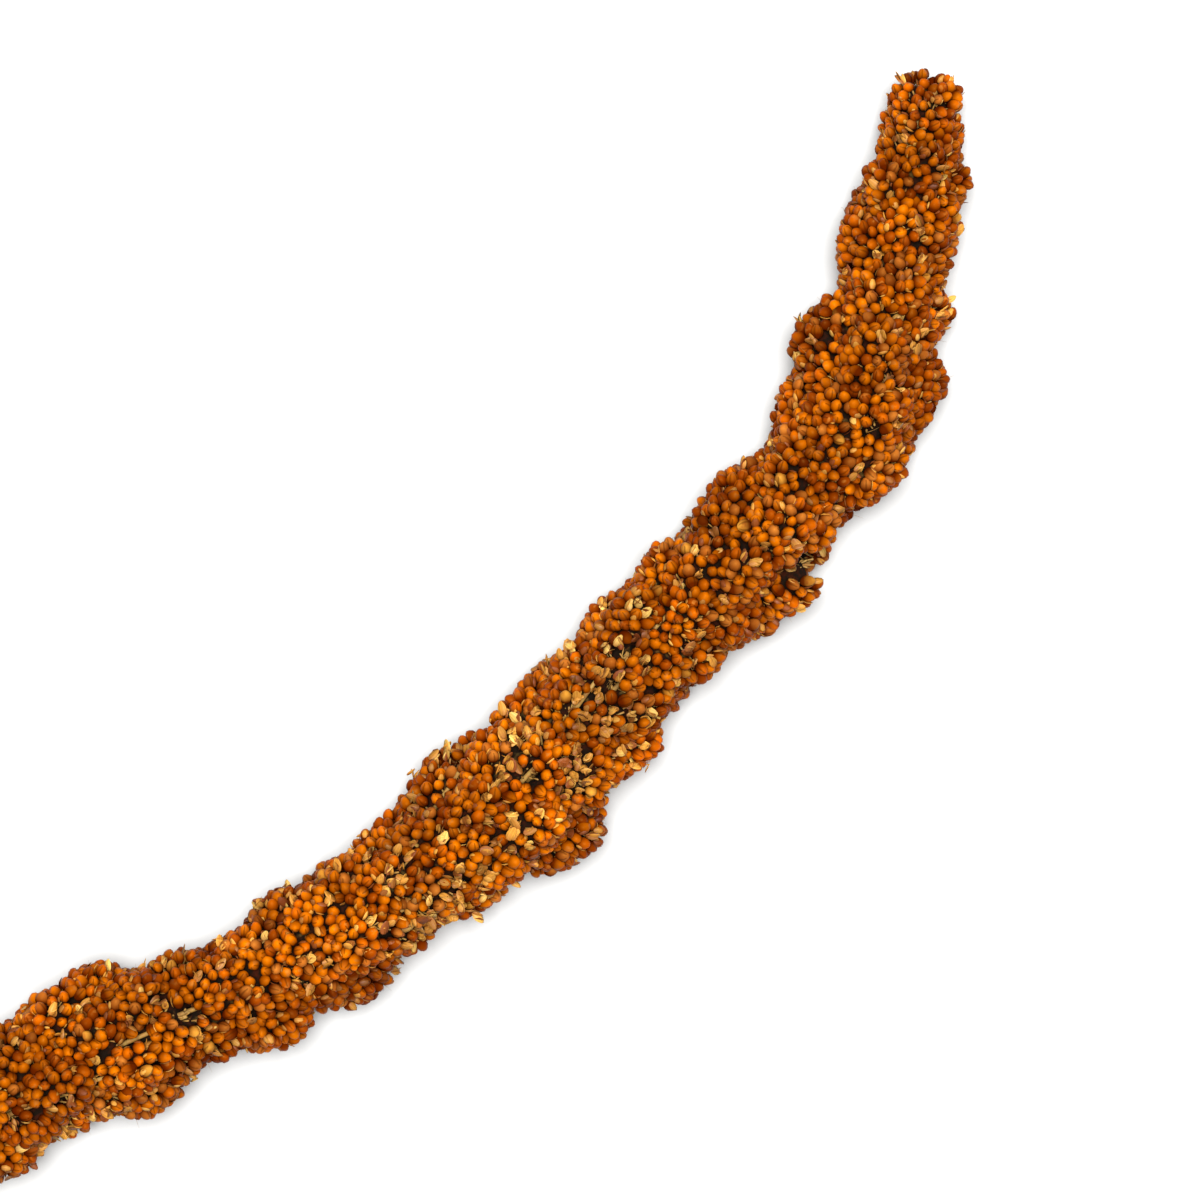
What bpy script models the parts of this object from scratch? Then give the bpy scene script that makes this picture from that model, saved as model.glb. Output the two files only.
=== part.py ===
"""A head of red spray millet, cut with a short stalk and laid on its side.

The head is first worked out straight, along X, and then bent along its own centreline. Straight
places are (along, left, up): the distance from the stalk's cut end, and the offsets from the centreline.
Lengths are metres. +X runs from the cut end to the tip, +Z is up, and the head rests on z = 0.
"""
import math
import random

import bmesh
import bpy
import numpy as np
from mathutils import Matrix, Vector

# Sizes of the whole head
STALK_LENGTH = 0.050
HEAD_END = 0.3385
BOX_CENTRE = (0.1616, -0.0278)

# The centreline seen from above, and its height above the surface: pairs of (x, value)
BOW = [(0.0, 0.0), (0.050, -0.013), (0.100, -0.026), (0.135, -0.037), (0.165, -0.042), (0.190, -0.043),
       (0.218, -0.040), (0.238, -0.040), (0.256, -0.039), (0.272, -0.0345), (0.286, -0.026),
       (0.300, -0.0165), (0.321, 0.0), (0.333, 0.010)]
HEIGHT = [(0.0, 0.0095), (0.050, 0.0115), (0.100, 0.0128), (0.185, 0.0131), (0.265, 0.0122),
          (0.300, 0.0108), (0.333, 0.0086)]

# The head's radius: pairs of (distance from the tip, radius)
RADIUS = [(0.0, 0.0030), (0.005, 0.0053), (0.012, 0.0072), (0.025, 0.0100), (0.042, 0.0109),
          (0.062, 0.0134), (0.075, 0.0114), (0.090, 0.0129), (0.118, 0.0116), (0.145, 0.0137),
          (0.175, 0.0124), (0.212, 0.0112), (0.232, 0.0134), (0.262, 0.0120), (0.2885, 0.0075)]

# Side branches: eggs that lean toward the tip, set round the head at the golden angle
SEED = 11
GOLDEN_ANGLE = math.radians(137.508)
BRANCH_AREA = 0.000128
BRANCH_HALF_LENGTH = 0.0086
BRANCH_HALF_WIDTH = 0.0049
BRANCH_TILT = math.radians(27)
REACH_RANGE = (-0.0014, 0.0011)
SIZE_RANGE = (0.84, 1.16)
TILT_SPREAD = 8.0
TURN_SPREAD = 15.0
FULL_SIZE_RADIUS = 0.0115
SMALLEST_SCALE = 0.55
TIP_BRANCH = (0.0062, 0.0056, 0.0032)

# Branches that stand out, as (distance from the tip, angle round the head in degrees, extra reach).
# The angle is 0 on the left, 90 on top, 180 on the right and 270 underneath.
STANDING_OUT = [(0.034, 12, 0.0010), (0.053, 4, 0.0020), (0.065, 355, 0.0010), (0.0915, 176, 0.0006),
                (0.088, 8, 0.0012), (0.131, 184, 0.0010), (0.148, 188, 0.0030), (0.146, 204, 0.0020),
                (0.158, 352, 0.0014), (0.190, 190, 0.0020), (0.204, 176, 0.0022), (0.231, 4, 0.0014),
                (0.229, 184, 0.0012)]
RESTING = [(0.060, 270, 0.0017), (0.145, 268, 0.0018), (0.232, 271, 0.0018)]
# Hollows in the outline, as (distance from the tip, angle, depth), and how far they spread
HOLLOWS = [(0.078, 180, 0.0040), (0.209, 3, 0.0026), (0.134, 196, 0.0024)]
HOLLOW_LENGTH = 0.009
HOLLOW_TURN = math.radians(40)

# The skin of grains: staggered rings of points, every third one the top of a six-sided grain
RINGS = 138
COLUMNS = 36
CORE_SHARE = 0.62
GRAIN_RISE = 0.0014
GRAIN_DIP = 0.0005
SMOOTHING_ROUNDS = 14
# How the skin's rays lean toward the tip, in degrees, and the core's radius as a share of its full size:
# pairs of (distance from the head's start, value), the last ones measured back from the tip
RAY_LEAN_START = [(0.0, -50.0), (0.010, 10.0), (0.030, 27.0)]
RAY_LEAN_END = [(0.026, 27.0), (0.010, 50.0), (0.0045, 80.0)]
MOUTH_RADIUS = 0.0034
CORE_TIP_BACK = 0.0045

# Stalk and the tunnel that it runs through: pairs of (distance from the cut end, radius)
STALK_RADIUS = [(0.0, 0.0017), (0.050, 0.0015), (0.200, 0.0011), (0.3185, 0.0006)]
RACHIS_END = 0.3185
STALK_SIDES = 12
STATION = 0.010
GAP = 0.0003
SHARP_ANGLE = math.radians(40)

HEAD_COLOUR = (0.560, 0.130, 0.012, 1.0)
STALK_COLOUR = (0.300, 0.215, 0.085, 1.0)


def smooth(table, at):
    """Reads a smooth curve through a table of (place, value) pairs."""
    places, values = np.array(table).T
    slopes = np.gradient(values, places)
    first = np.clip(np.searchsorted(places, at) - 1, 0, len(places) - 2)
    span = places[first + 1] - places[first]
    t = (at - places[first]) / span
    from_start = (2 * t**3 - 3 * t**2 + 1) * values[first] + (t**3 - 2 * t**2 + t) * span * slopes[first]
    to_end = (3 * t**2 - 2 * t**3) * values[first + 1] + (t**3 - t**2) * span * slopes[first + 1]
    return from_start + to_end


class Centreline:
    """The bent centreline, with its own left and up at every place along it."""

    def __init__(self):
        x = np.linspace(BOW[0][0], BOW[-1][0], 1200)
        self.points = np.column_stack([x, smooth(BOW, x), smooth(HEIGHT, x)])
        steps = np.linalg.norm(np.diff(self.points, axis=0), axis=1)
        self.along = np.concatenate([[0.0], np.cumsum(steps)])
        heading = np.gradient(self.points, self.along, axis=0)
        heading /= np.linalg.norm(heading, axis=1, keepdims=True)
        left = np.cross([0.0, 0.0, 1.0], heading)
        left /= np.linalg.norm(left, axis=1, keepdims=True)
        self.left = left
        self.up = np.cross(heading, left)

    def read(self, values, along):
        return np.stack([np.interp(along, self.along, values[:, k]) for k in range(3)], axis=-1)

    def bend(self, straight):
        """Bends straight places (along, left, up) onto the centreline."""
        along = straight[..., 0]
        left = self.read(self.left, along) * straight[..., 1:2]
        up = self.read(self.up, along) * straight[..., 2:3]
        bent = self.read(self.points, along) + left + up
        bent[..., 0] -= BOX_CENTRE[0]
        bent[..., 1] -= BOX_CENTRE[1]
        return bent


def head_radius(along):
    return smooth(RADIUS, HEAD_END - along)


def hollow(back, angle):
    """How deep the outline's hollows are at a distance from the tip and an angle round the head."""
    depth = 0.0
    for place, degrees, deepest in HOLLOWS:
        turn = math.remainder(angle - math.radians(degrees), 2.0 * math.pi)
        depth += deepest * math.exp(-((back - place) / HOLLOW_LENGTH) ** 2 - (turn / HOLLOW_TURN) ** 2)
    return depth


def branch(along, angle, reach, size, tilt):
    """One side branch as an egg: its centre, long axis, half length and half width, straight."""
    half_length = BRANCH_HALF_LENGTH * size
    half_width = BRANCH_HALF_WIDTH * size
    half_depth = math.hypot(half_length * math.sin(tilt), half_width * math.cos(tilt))
    middle = max(head_radius(along) + reach - half_depth - GRAIN_RISE * size, 0.0)
    outward = Vector((0.0, math.cos(angle), math.sin(angle)))
    axis = Vector((math.cos(tilt), 0.0, 0.0)) + outward * math.sin(tilt)
    centre = Vector((along, 0.0, 0.0)) + outward * middle
    return centre, axis, half_length, half_width


def side_branches():
    """All side branches, from the stalk to the tip."""
    rng = random.Random(SEED)
    branches = []
    along = STALK_LENGTH + 0.006
    angle = 0.0
    while along < HEAD_END - 0.005:
        radius = float(head_radius(along))
        size = min(1.0, max(SMALLEST_SCALE, radius / FULL_SIZE_RADIUS))
        reach = rng.uniform(*REACH_RANGE) * size
        tilt = BRANCH_TILT * size + math.radians(rng.uniform(-TILT_SPREAD, TILT_SPREAD))
        turn = angle + math.radians(rng.uniform(-TURN_SPREAD, TURN_SPREAD))
        reach -= hollow(HEAD_END - along, turn)
        branches.append(branch(along, turn, reach, size * rng.uniform(*SIZE_RANGE), tilt))
        along += BRANCH_AREA * size**2 / (2.0 * math.pi * radius)
        angle += GOLDEN_ANGLE
    for back, degrees, reach in STANDING_OUT + RESTING:
        branches.append(branch(HEAD_END - back, math.radians(degrees), reach, 1.0, BRANCH_TILT))
    back, half_length, half_width = TIP_BRANCH
    branches.append((Vector((HEAD_END - back, 0.0, 0.0)), Vector((1.0, 0.0, 0.0)), half_length, half_width))
    return branches


def reach_of(branches, starts, rays):
    """How far each ray runs from its start before it leaves the last side branch that it meets."""
    furthest = np.zeros(starts.shape[:-1])
    for centre, axis, half_length, half_width in branches:
        axis = np.array(axis)
        offset = starts - np.array(centre)
        stretch = 1.0 / half_length**2 - 1.0 / half_width**2
        offset_along = offset @ axis
        ray_along = rays @ axis
        square = (rays * rays).sum(-1) / half_width**2 + stretch * ray_along**2
        middle = (offset * rays).sum(-1) / half_width**2 + stretch * offset_along * ray_along
        rest = (offset * offset).sum(-1) / half_width**2 + stretch * offset_along**2 - 1.0
        inside = middle**2 - square * rest
        hit = (np.sqrt(np.maximum(inside, 0.0)) - middle) / square
        furthest = np.where(inside > 0.0, np.maximum(furthest, hit), furthest)
    return furthest


def core_of(along):
    """The core's radius, and the lean of its rays toward the tip, at places along the head."""
    from_start = along - STALK_LENGTH
    head_length = HEAD_END - STALK_LENGTH
    ends = [(head_length - back, value) for back, value in RAY_LEAN_END]
    lean = np.radians(np.interp(from_start, *np.array(RAY_LEAN_START + ends).T))
    full = CORE_SHARE * head_radius(along)
    start_share = np.clip(from_start / 0.014, 0.0, 1.0)
    to_tip = np.clip((HEAD_END - CORE_TIP_BACK - along) / 0.006, 0.0, 1.0)
    radius = MOUTH_RADIUS + (full - MOUTH_RADIUS) * np.sin(start_share * math.pi / 2)
    radius = 0.0008 + (radius - 0.0008) * np.sqrt(1.0 - (1.0 - to_tip) ** 2)
    return radius, lean


def skin_points(branches):
    """Rings of points on the side branches, spread evenly, then raised and dipped into grains."""
    last = HEAD_END - CORE_TIP_BACK
    along = np.linspace(STALK_LENGTH, last, RINGS)[:, None] * np.ones(COLUMNS)
    ring, column = np.indices((RINGS, COLUMNS))
    odd = ring % 2
    angle = (column + 0.5 * odd) * 2.0 * math.pi / COLUMNS

    def place(extra):
        radius, lean = core_of(along)
        outward = np.stack([np.zeros_like(angle), np.cos(angle), np.sin(angle)], axis=-1)
        rays = outward * np.cos(lean)[..., None]
        rays[..., 0] += np.sin(lean)
        starts = outward * radius[..., None]
        starts[..., 0] += along
        run = reach_of(branches, starts, rays) + extra
        run[0] = 0.0
        return starts + rays * run[..., None]

    for _ in range(SMOOTHING_ROUNDS):
        points = place(0.0)
        before = np.roll(points, 1, axis=1)
        after = np.roll(points, -1, axis=1)
        beside = np.where(odd[..., None] == 1, points + before, points + after)
        middle = (before + after) / 6.0
        middle[1:-1] += (beside[:-2] + beside[2:]) / 6.0
        shift = middle - points
        sideways = -np.sin(angle) * shift[..., 1] + np.cos(angle) * shift[..., 2]
        off_axis = np.hypot(points[..., 1], points[..., 2])
        along[1:-1] += 0.5 * shift[1:-1, :, 0]
        angle[1:-1] += 0.5 * (sideways / off_axis)[1:-1]

    is_top = (column - ring // 2 - ring) % 3 == 0
    return place(np.where(is_top, GRAIN_RISE, -GRAIN_DIP))


def tube_stations(start, end):
    """Places of a tube's rings, one every STATION, with the two ends."""
    first = math.floor(start / STATION + 1e-6) + 1
    last = math.ceil(end / STATION - 1e-6)
    return [start] + [k * STATION for k in range(first, last)] + [end]


def tube_rings(stations, extra):
    """Straight rings of the stalk, made thicker by the extra radius."""
    turns = np.arange(STALK_SIDES) * 2.0 * math.pi / STALK_SIDES
    rings = []
    for station in stations:
        radius = np.interp(station, *np.array(STALK_RADIUS).T) + extra
        ring = np.column_stack([np.full(STALK_SIDES, station), radius * np.cos(turns), radius * np.sin(turns)])
        rings.append(ring)
    return np.array(rings)


def add_rings(mesh, rings):
    return [[mesh.verts.new(point) for point in ring] for ring in rings]


def join_rings(mesh, rings, staggered):
    """Closes the walls between neighbouring rings, with triangles where odd rings are half a step round."""
    count = len(rings[0])
    for number, (lower, upper) in enumerate(zip(rings, rings[1:])):
        for column in range(count):
            after = (column + 1) % count
            corners = [lower[column], lower[after], upper[after], upper[column]]
            if not staggered:
                mesh.faces.new(corners)
            elif number % 2 == 0:
                mesh.faces.new([corners[0], corners[1], corners[3]])
                mesh.faces.new([corners[1], corners[2], corners[3]])
            else:
                mesh.faces.new([corners[0], corners[1], corners[2]])
                mesh.faces.new([corners[0], corners[2], corners[3]])


def new_object(name, mesh, colour, roughness):
    """Turns the bmesh into a smooth-shaded object with its own material."""
    bmesh.ops.recalc_face_normals(mesh, faces=mesh.faces)
    data = bpy.data.meshes.new(name)
    mesh.to_mesh(data)
    mesh.free()
    data.shade_smooth()
    data.set_sharp_from_angle(angle=SHARP_ANGLE)
    material = bpy.data.materials.new(name)
    material.use_nodes = True
    shader = material.node_tree.nodes["Principled BSDF"]
    shader.inputs["Base Color"].default_value = colour
    shader.inputs["Roughness"].default_value = roughness
    shader.inputs["Metallic"].default_value = 0.0
    data.materials.append(material)
    made = bpy.data.objects.new(name, data)
    bpy.context.scene.collection.objects.link(made)
    return made


def build_stalk(centreline):
    mesh = bmesh.new()
    rings = add_rings(mesh, centreline.bend(tube_rings(tube_stations(0.0, RACHIS_END), 0.0)))
    join_rings(mesh, rings, staggered=False)
    mesh.faces.new(rings[0])
    mesh.faces.new(rings[-1])
    return new_object("stalk", mesh, STALK_COLOUR, 0.6)


def build_head(centreline, branches):
    """The bunch: a skin of grains over the side branches, with a blind tunnel for the stalk."""
    mesh = bmesh.new()
    skin = add_rings(mesh, centreline.bend(skin_points(branches)))
    join_rings(mesh, skin, staggered=True)

    tip_start = np.array([[HEAD_END - CORE_TIP_BACK, 0.0, 0.0]])
    tip_run = reach_of(branches, tip_start, np.array([[1.0, 0.0, 0.0]]))[0]
    tip = mesh.verts.new(centreline.bend(tip_start + [tip_run, 0.0, 0.0])[0])
    for column, point in enumerate(skin[-1]):
        mesh.faces.new([point, skin[-1][(column + 1) % COLUMNS], tip])

    wall = GAP / math.cos(math.pi / STALK_SIDES)
    stations = tube_stations(STALK_LENGTH, RACHIS_END)
    stations[-1] += GAP
    tunnel = add_rings(mesh, centreline.bend(tube_rings(stations, wall)))
    join_rings(mesh, tunnel, staggered=False)
    mesh.faces.new(tunnel[-1])

    per_side = COLUMNS // STALK_SIDES
    for side in range(STALK_SIDES):
        rim = [skin[0][(side * per_side + step) % COLUMNS] for step in range(per_side + 1)]
        mesh.faces.new(rim + [tunnel[0][(side + 1) % STALK_SIDES], tunnel[0][side]])
    return new_object("seed_head", mesh, HEAD_COLOUR, 0.45)


def flatten_underside(head):
    """Cuts away what would sink into the surface, so the lowest branches rest on small flats."""
    mesh = bmesh.new()
    size = Vector((0.40, 0.12, 0.02))
    bmesh.ops.create_cube(mesh, size=1.0, matrix=Matrix.Translation((0.0, 0.0, -size.z / 2)) @ Matrix.Diagonal(
        (*size, 1.0)))
    data = bpy.data.meshes.new("surface_cutter")
    mesh.to_mesh(data)
    mesh.free()
    cutter = bpy.data.objects.new("surface_cutter", data)
    bpy.context.scene.collection.objects.link(cutter)
    cutter.hide_render = True
    cutter.display_type = "WIRE"
    cut = head.modifiers.new("flat underside", "BOOLEAN")
    cut.operation = "DIFFERENCE"
    cut.solver = "EXACT"
    cut.object = cutter


def main():
    for old in list(bpy.data.objects):
        bpy.data.objects.remove(old, do_unlink=True)
    centreline = Centreline()
    branches = side_branches()
    build_stalk(centreline)
    head = build_head(centreline, branches)
    flatten_underside(head)


main()
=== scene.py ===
"""A head of red spray millet, cut with a short stalk and laid on its side.

Round grains in satin husks cover some 190 egg-shaped side branches, with papery husks, bristles and
branch stems among them. Straight places are (along, left, up): the distance from the stalk's cut end,
and the offsets from the centreline. Lengths are metres.
"""

import functools
import math
import random

import bmesh
import bpy
import numpy as np
from bpy.props import FloatProperty, FloatVectorProperty, IntProperty, PointerProperty
from bpy.types import Operator, Panel, PropertyGroup
from mathutils import Matrix, Vector
from mathutils.kdtree import KDTree


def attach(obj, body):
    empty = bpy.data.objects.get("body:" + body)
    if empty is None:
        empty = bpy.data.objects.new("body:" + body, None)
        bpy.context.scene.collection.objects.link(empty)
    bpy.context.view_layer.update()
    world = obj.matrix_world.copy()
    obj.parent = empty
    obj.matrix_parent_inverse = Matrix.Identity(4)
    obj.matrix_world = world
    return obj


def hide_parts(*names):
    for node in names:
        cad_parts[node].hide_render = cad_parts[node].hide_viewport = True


bl_info = {
    "name": "Millet Seed Head",
    "version": (1, 0, 0),
    "blender": (4, 5, 0),
    "location": "View3D > Sidebar > Millet",
    "description": "Builds a head of red spray millet and the stage that it lies on",
    "category": "Add Mesh",
}

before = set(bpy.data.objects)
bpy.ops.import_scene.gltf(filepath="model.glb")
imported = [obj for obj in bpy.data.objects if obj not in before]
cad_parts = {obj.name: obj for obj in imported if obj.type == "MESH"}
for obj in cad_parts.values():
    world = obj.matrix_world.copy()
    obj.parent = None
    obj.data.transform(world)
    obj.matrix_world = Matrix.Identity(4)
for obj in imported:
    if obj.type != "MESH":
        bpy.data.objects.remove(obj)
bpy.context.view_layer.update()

# Sizes of the whole head
STALK_LENGTH = 0.050
HEAD_END = 0.3385
BOX_CENTRE = (0.1616, -0.0278)

# The centreline seen from above, and its height above the surface: pairs of (x, value)
BOW = [(0.0, 0.0), (0.050, -0.013), (0.100, -0.026), (0.135, -0.037), (0.165, -0.042), (0.190, -0.043),
       (0.218, -0.040), (0.238, -0.040), (0.256, -0.039), (0.272, -0.0345), (0.286, -0.026),
       (0.300, -0.0165), (0.321, 0.0), (0.333, 0.010)]
HEIGHT = [(0.0, 0.0095), (0.050, 0.0115), (0.100, 0.0128), (0.185, 0.0131), (0.265, 0.0122),
          (0.300, 0.0108), (0.333, 0.0086)]

# The head's radius: pairs of (distance from the tip, radius)
RADIUS = [(0.0, 0.0030), (0.005, 0.0053), (0.012, 0.0072), (0.025, 0.0100), (0.042, 0.0109),
          (0.062, 0.0134), (0.075, 0.0114), (0.090, 0.0129), (0.118, 0.0116), (0.145, 0.0137),
          (0.175, 0.0124), (0.212, 0.0112), (0.232, 0.0134), (0.262, 0.0120), (0.2885, 0.0075)]

# Side branches: eggs that lean toward the tip, set round the head at the golden angle
BRANCH_SEED = 11
GOLDEN_ANGLE = math.radians(137.508)
BRANCH_AREA = 0.000128
BRANCH_HALF_LENGTH = 0.0086
BRANCH_HALF_WIDTH = 0.0049
BRANCH_TILT = math.radians(27)
REACH_RANGE = (-0.0014, 0.0011)
SIZE_RANGE = (0.84, 1.16)
TILT_SPREAD = 8.0
TURN_SPREAD = 15.0
FULL_SIZE_RADIUS = 0.0115
SMALLEST_SCALE = 0.55
TIP_BRANCH = (0.0062, 0.0056, 0.0032)
GRAIN_RISE = 0.0014

# Branches that stand out, as (distance from the tip, angle round the head in degrees, extra reach).
# The angle is 0 on the left, 90 on top, 180 on the right and 270 underneath.
STANDING_OUT = [(0.034, 12, 0.0010), (0.053, 4, 0.0020), (0.065, 355, 0.0010), (0.0915, 176, 0.0006),
                (0.088, 8, 0.0012), (0.131, 184, 0.0010), (0.148, 188, 0.0030), (0.146, 204, 0.0020),
                (0.158, 352, 0.0014), (0.190, 190, 0.0020), (0.204, 176, 0.0022), (0.231, 4, 0.0014),
                (0.229, 184, 0.0012)]
RESTING = [(0.060, 270, 0.0017), (0.145, 268, 0.0018), (0.232, 271, 0.0018)]
# Hollows in the outline, as (distance from the tip, angle, depth), and how far they spread
HOLLOWS = [(0.078, 180, 0.0040), (0.209, 3, 0.0026), (0.134, 196, 0.0024)]
HOLLOW_LENGTH = 0.009
HOLLOW_TURN = math.radians(40)

# Open gaps between side branches, as (distance from the tip, angle, radius)
OPEN_GAPS = [(0.123, 91, 0.0021), (0.143, 86, 0.0027), (0.116, 75, 0.0022), (0.062, 109, 0.0021),
             (0.130, 70, 0.0018), (0.178, 118, 0.0022), (0.214, 89, 0.0022), (0.225, 95, 0.0024),
             (0.239, 114, 0.0021), (0.243, 114, 0.0023), (0.248, 113, 0.0021), (0.091, 262, 0.0026),
             (0.187, 285, 0.0028), (0.034, 240, 0.0020), (0.160, 30, 0.0020), (0.240, 200, 0.0024)]
# The notch beside the branch that stands out like a finger, given the same way
NOTCH = [(0.0847, 141, 0.0015), (0.0834, 152, 0.0020), (0.0836, 165, 0.0022), (0.0838, 178, 0.0022),
         (0.0838, 191, 0.0022), (0.0837, 204, 0.0021)]
# Patches with many empty husks, as (distance from the tip, angle, radius)
HUSK_PATCHES = [(0.130, 84, 0.0055), (0.144, 69, 0.0060), (0.151, 101, 0.0075), (0.163, 122, 0.0070),
                (0.174, 142, 0.0065), (0.248, 173, 0.0080), (0.234, 154, 0.0055), (0.126, 116, 0.0050),
                (0.137, 57, 0.0045), (0.138, 116, 0.0055), (0.107, 104, 0.0050), (0.070, 248, 0.0060),
                (0.152, 300, 0.0070), (0.205, 262, 0.0070), (0.098, 330, 0.0055)]
# Broad zones with more empty husks than elsewhere, as (distance from the tip, angle, radius)
HUSK_ZONES = [(0.120, 95, 0.020), (0.142, 90, 0.022), (0.165, 110, 0.022), (0.242, 165, 0.018),
              (0.145, 290, 0.024), (0.215, 255, 0.022), (0.080, 300, 0.018)]

# How grains are seated: the share of another side branch that hides them and its play, the share of the
# head's radius that stays free of them, and what is too near, as a share of the spacing
HIDING_SHARE = (0.95, 1.07)
HIDING_PLAY = 0.03
FREE_CORE = 0.5
TOO_NEAR = 0.66
# The area that a grain takes up where grains lie as close as they can, over the square of the spacing
CLOSE_PACKING = 0.866

# Kinds of grain: how ripeness differs from branch to branch, the tones of the flank grains browned as
# painted shade and of the unripe, and the chances of such a flank grain, an unripe one and an empty husk
RIPENESS_SPREAD = 0.10
HIGHEST_TONE = 0.93
FLANK_SHADE_TONE = 0.82
UNRIPE_TONE = 1.0
FLANK_SHADE_CHANCE = 0.48
UNRIPE_CHANCE = 0.012
EMPTY_CHANCE = 0.070
EMPTY_IN_ZONE = 0.10
EMPTY_IN_PATCH = 0.40

# How much painted shade darkens the creases between side branches, how far from a branch a crease reaches as
# a multiple of the branch's own size, and how much darker the most weathered branch is than the freshest
CREASE_SHADE = 0.50
CREASE_REACH = 1.30
BRANCH_SHADE = 0.50

# The lowest height of grains' middles, of the feet of what stands among them and of the inside
LOWEST_GRAIN = 0.00118
LOWEST_HUSK = 0.0012
LOWEST_GLUME = 0.0004
LOWEST_BRISTLE = 0.0006
LOWEST_FOOTSTALK = 0.0010
LOWEST_INSIDE = 0.0009
# The clear space over the surface, and the height below which pieces bend up to keep it
CLEAR_HEIGHT = 0.0001
BEND_HEIGHT = 0.0003
BEND_LENGTH = 0.001

# Half the thickness of bristles, branch stems and footstalks
BRISTLE_RADIUS = 0.00005
STEM_RADIUS = 0.00058
FOOTSTALK_RADIUS = (0.00013, 0.00022)
# Half the thickness of a papery husk
HALF_SHEET = 0.00004

# The inside: how much shorter and slimmer it is than the side branches, its core as a share of the head's
# radius, the step of its skin, and how far it gives way to the centreline at the gaps and the notch
INSIDE_SHORTER = 0.0016
INSIDE_SLIMMER = 0.0014
CORE_SHARE = 0.58
SKIN_STEP = 0.0011
GAP_SINK = 0.70
NOTCH_SINK = 0.42

# The stalk's radius: pairs of (distance from the cut end, radius)
STALK_RADIUS = [(0.0, 0.0017), (0.050, 0.0015), (0.200, 0.0011), (0.3185, 0.0006)]
RACHIS_END = 0.3185
# Its sides, how far each stands out in turn, and how deep its ribs are as a share of the radius
STALK_SIDES = 36
RIBS = (1.0, 0.1, 0.35)
RIB_DEPTH = 0.09
# Its rings' distance outside and inside the head, and its waves: (share of the radius, radians a metre)
OUTER_STEP = 0.0012
INNER_STEP = 0.006
WAVES = [(0.03, 420.0), (0.02, 1130.0)]
# How far the torn fibres of the cut end stand in or out
CUT_RANGE = (-0.00010, 0.00025)

FULL_TURN = 2.0 * math.pi

# The grains are parted into pieces by the angle round the head where each one starts
SIDES = [("grains_left", -45.0), ("grains_top", 45.0), ("grains_right", 135.0), ("grains_underside", 225.0)]


def colour(name, description, red, green, blue):
    """A colour setting, given in the 0 to 255 values of a colour chart."""
    shades = [(value / 255.0 / 12.92 if value < 10 else ((value / 255.0 + 0.055) / 1.055) ** 2.4)
              for value in (red, green, blue)]
    return FloatVectorProperty(name=name, description=description, default=(*shades, 1.0), subtype="COLOR",
                               size=4, min=0.0, max=1.0)


def length(name, description, metres):
    return FloatProperty(name=name, description=description, default=metres, min=0.0, unit="LENGTH",
                         precision=5)


class MilletGrainSettings(PropertyGroup):
    """Sizes of the grains and of the bits among them."""
    seed: IntProperty(name="Seed", description="Another seed gives another head", default=4, min=0)
    grain_length: length("Grain length", "From the foot to the point of a grain", 0.00254)
    grain_width: length("Grain width", "Across a grain's broad side", 0.00231)
    grain_depth: length("Grain depth", "From a grain's back to its flat side", 0.00220)
    spacing: length("Spacing", "From one grain to the next", 0.00197)
    loose: length("Looseness", "How far grains stand in or out of line", 0.00048)
    husk_length: length("Husk length", "Length of an empty husk", 0.00275)
    glume_length: length("Glume length", "Length of a small scale at a grain's foot", 0.00195)
    glume_share: FloatProperty(name="Glume share", description="Share of small scales that are left on",
                               default=0.66, min=0.0, max=1.0, subtype="FACTOR")
    bristles: IntProperty(name="Bristles", description="Number of bristles", default=320, min=0)
    bristle_length: length("Bristle length", "Length of a full bristle", 0.0036)


class MilletColourSettings(PropertyGroup):
    """Colours of the head and of the stage."""
    orange: colour("Orange grain", "Most grains", 200, 103, 0)
    red: colour("Red grain", "Ripest grains", 193, 89, 0)
    # Brown is for weathered grains, and on the head's flanks it also stands as painted shade
    brown: colour("Brown grain", "Weathered grains", 142, 59, 0)
    dull: colour("Dull grain", "Grains whose papery outer scales are still on", 174, 101, 34)
    pale: colour("Pale grain", "Unripe grains", 212, 148, 52)
    # The grain foot colour is partly the brown base of grains and partly painted shade; it also darkens
    # creases and the inside
    foot: colour("Grain foot", "Foot of every grain", 68, 18, 0)
    seam: colour("Grain seam", "Line where the two husks of a grain meet", 58, 20, 1)
    husk: colour("Husk", "Papery husks", 204, 142, 52)
    husk_dull: colour("Dull husk", "Weathered husks", 156, 104, 42)
    husk_light: colour("Light husk", "Bleached husks", 238, 196, 100)
    husk_dark: colour("Dark husk", "Brown husks", 124, 62, 18)
    stem: colour("Stem", "Branch stems and bristles", 148, 116, 56)
    # Near black as painted shade: the inside stands for stems deep in the head
    inside: colour("Inside", "Dark mass of stems under the grains", 18, 9, 3)
    straw: colour("Straw", "The stalk", 150, 128, 76)
    pith: colour("Pith", "The stalk's cut end", 214, 196, 150)
    floor: colour("Floor", "The pale floor", 182, 182, 181)


class MilletStageSettings(PropertyGroup):
    """The camera, the light and the floor."""
    view_width: length("View width", "What the picture takes in, side to side", 0.204)
    view_distance: length("View distance", "From the camera to the head", 1.0)
    view_middle: FloatVectorProperty(name="View middle", description="The place at the picture's middle",
                                     default=(0.0568, -0.0007, 0.0130), unit="LENGTH", precision=4)
    view_turn: FloatProperty(name="View turn", description="Turn of the picture about the upright",
                             default=math.radians(-42.533), subtype="ANGLE")
    floor_size: length("Floor size", "Width of the floor", 6.0)
    key_strength: FloatProperty(name="Key light", description="Strength of the soft light from above",
                                default=7.4, min=0.0)
    key_softness: FloatProperty(name="Key softness", description="How wide the key light looks",
                                default=math.radians(28.0), subtype="ANGLE")
    fill: FloatProperty(name="Fill light", description="Strength of the light from all round", default=0.12,
                        min=0.0)


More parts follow.
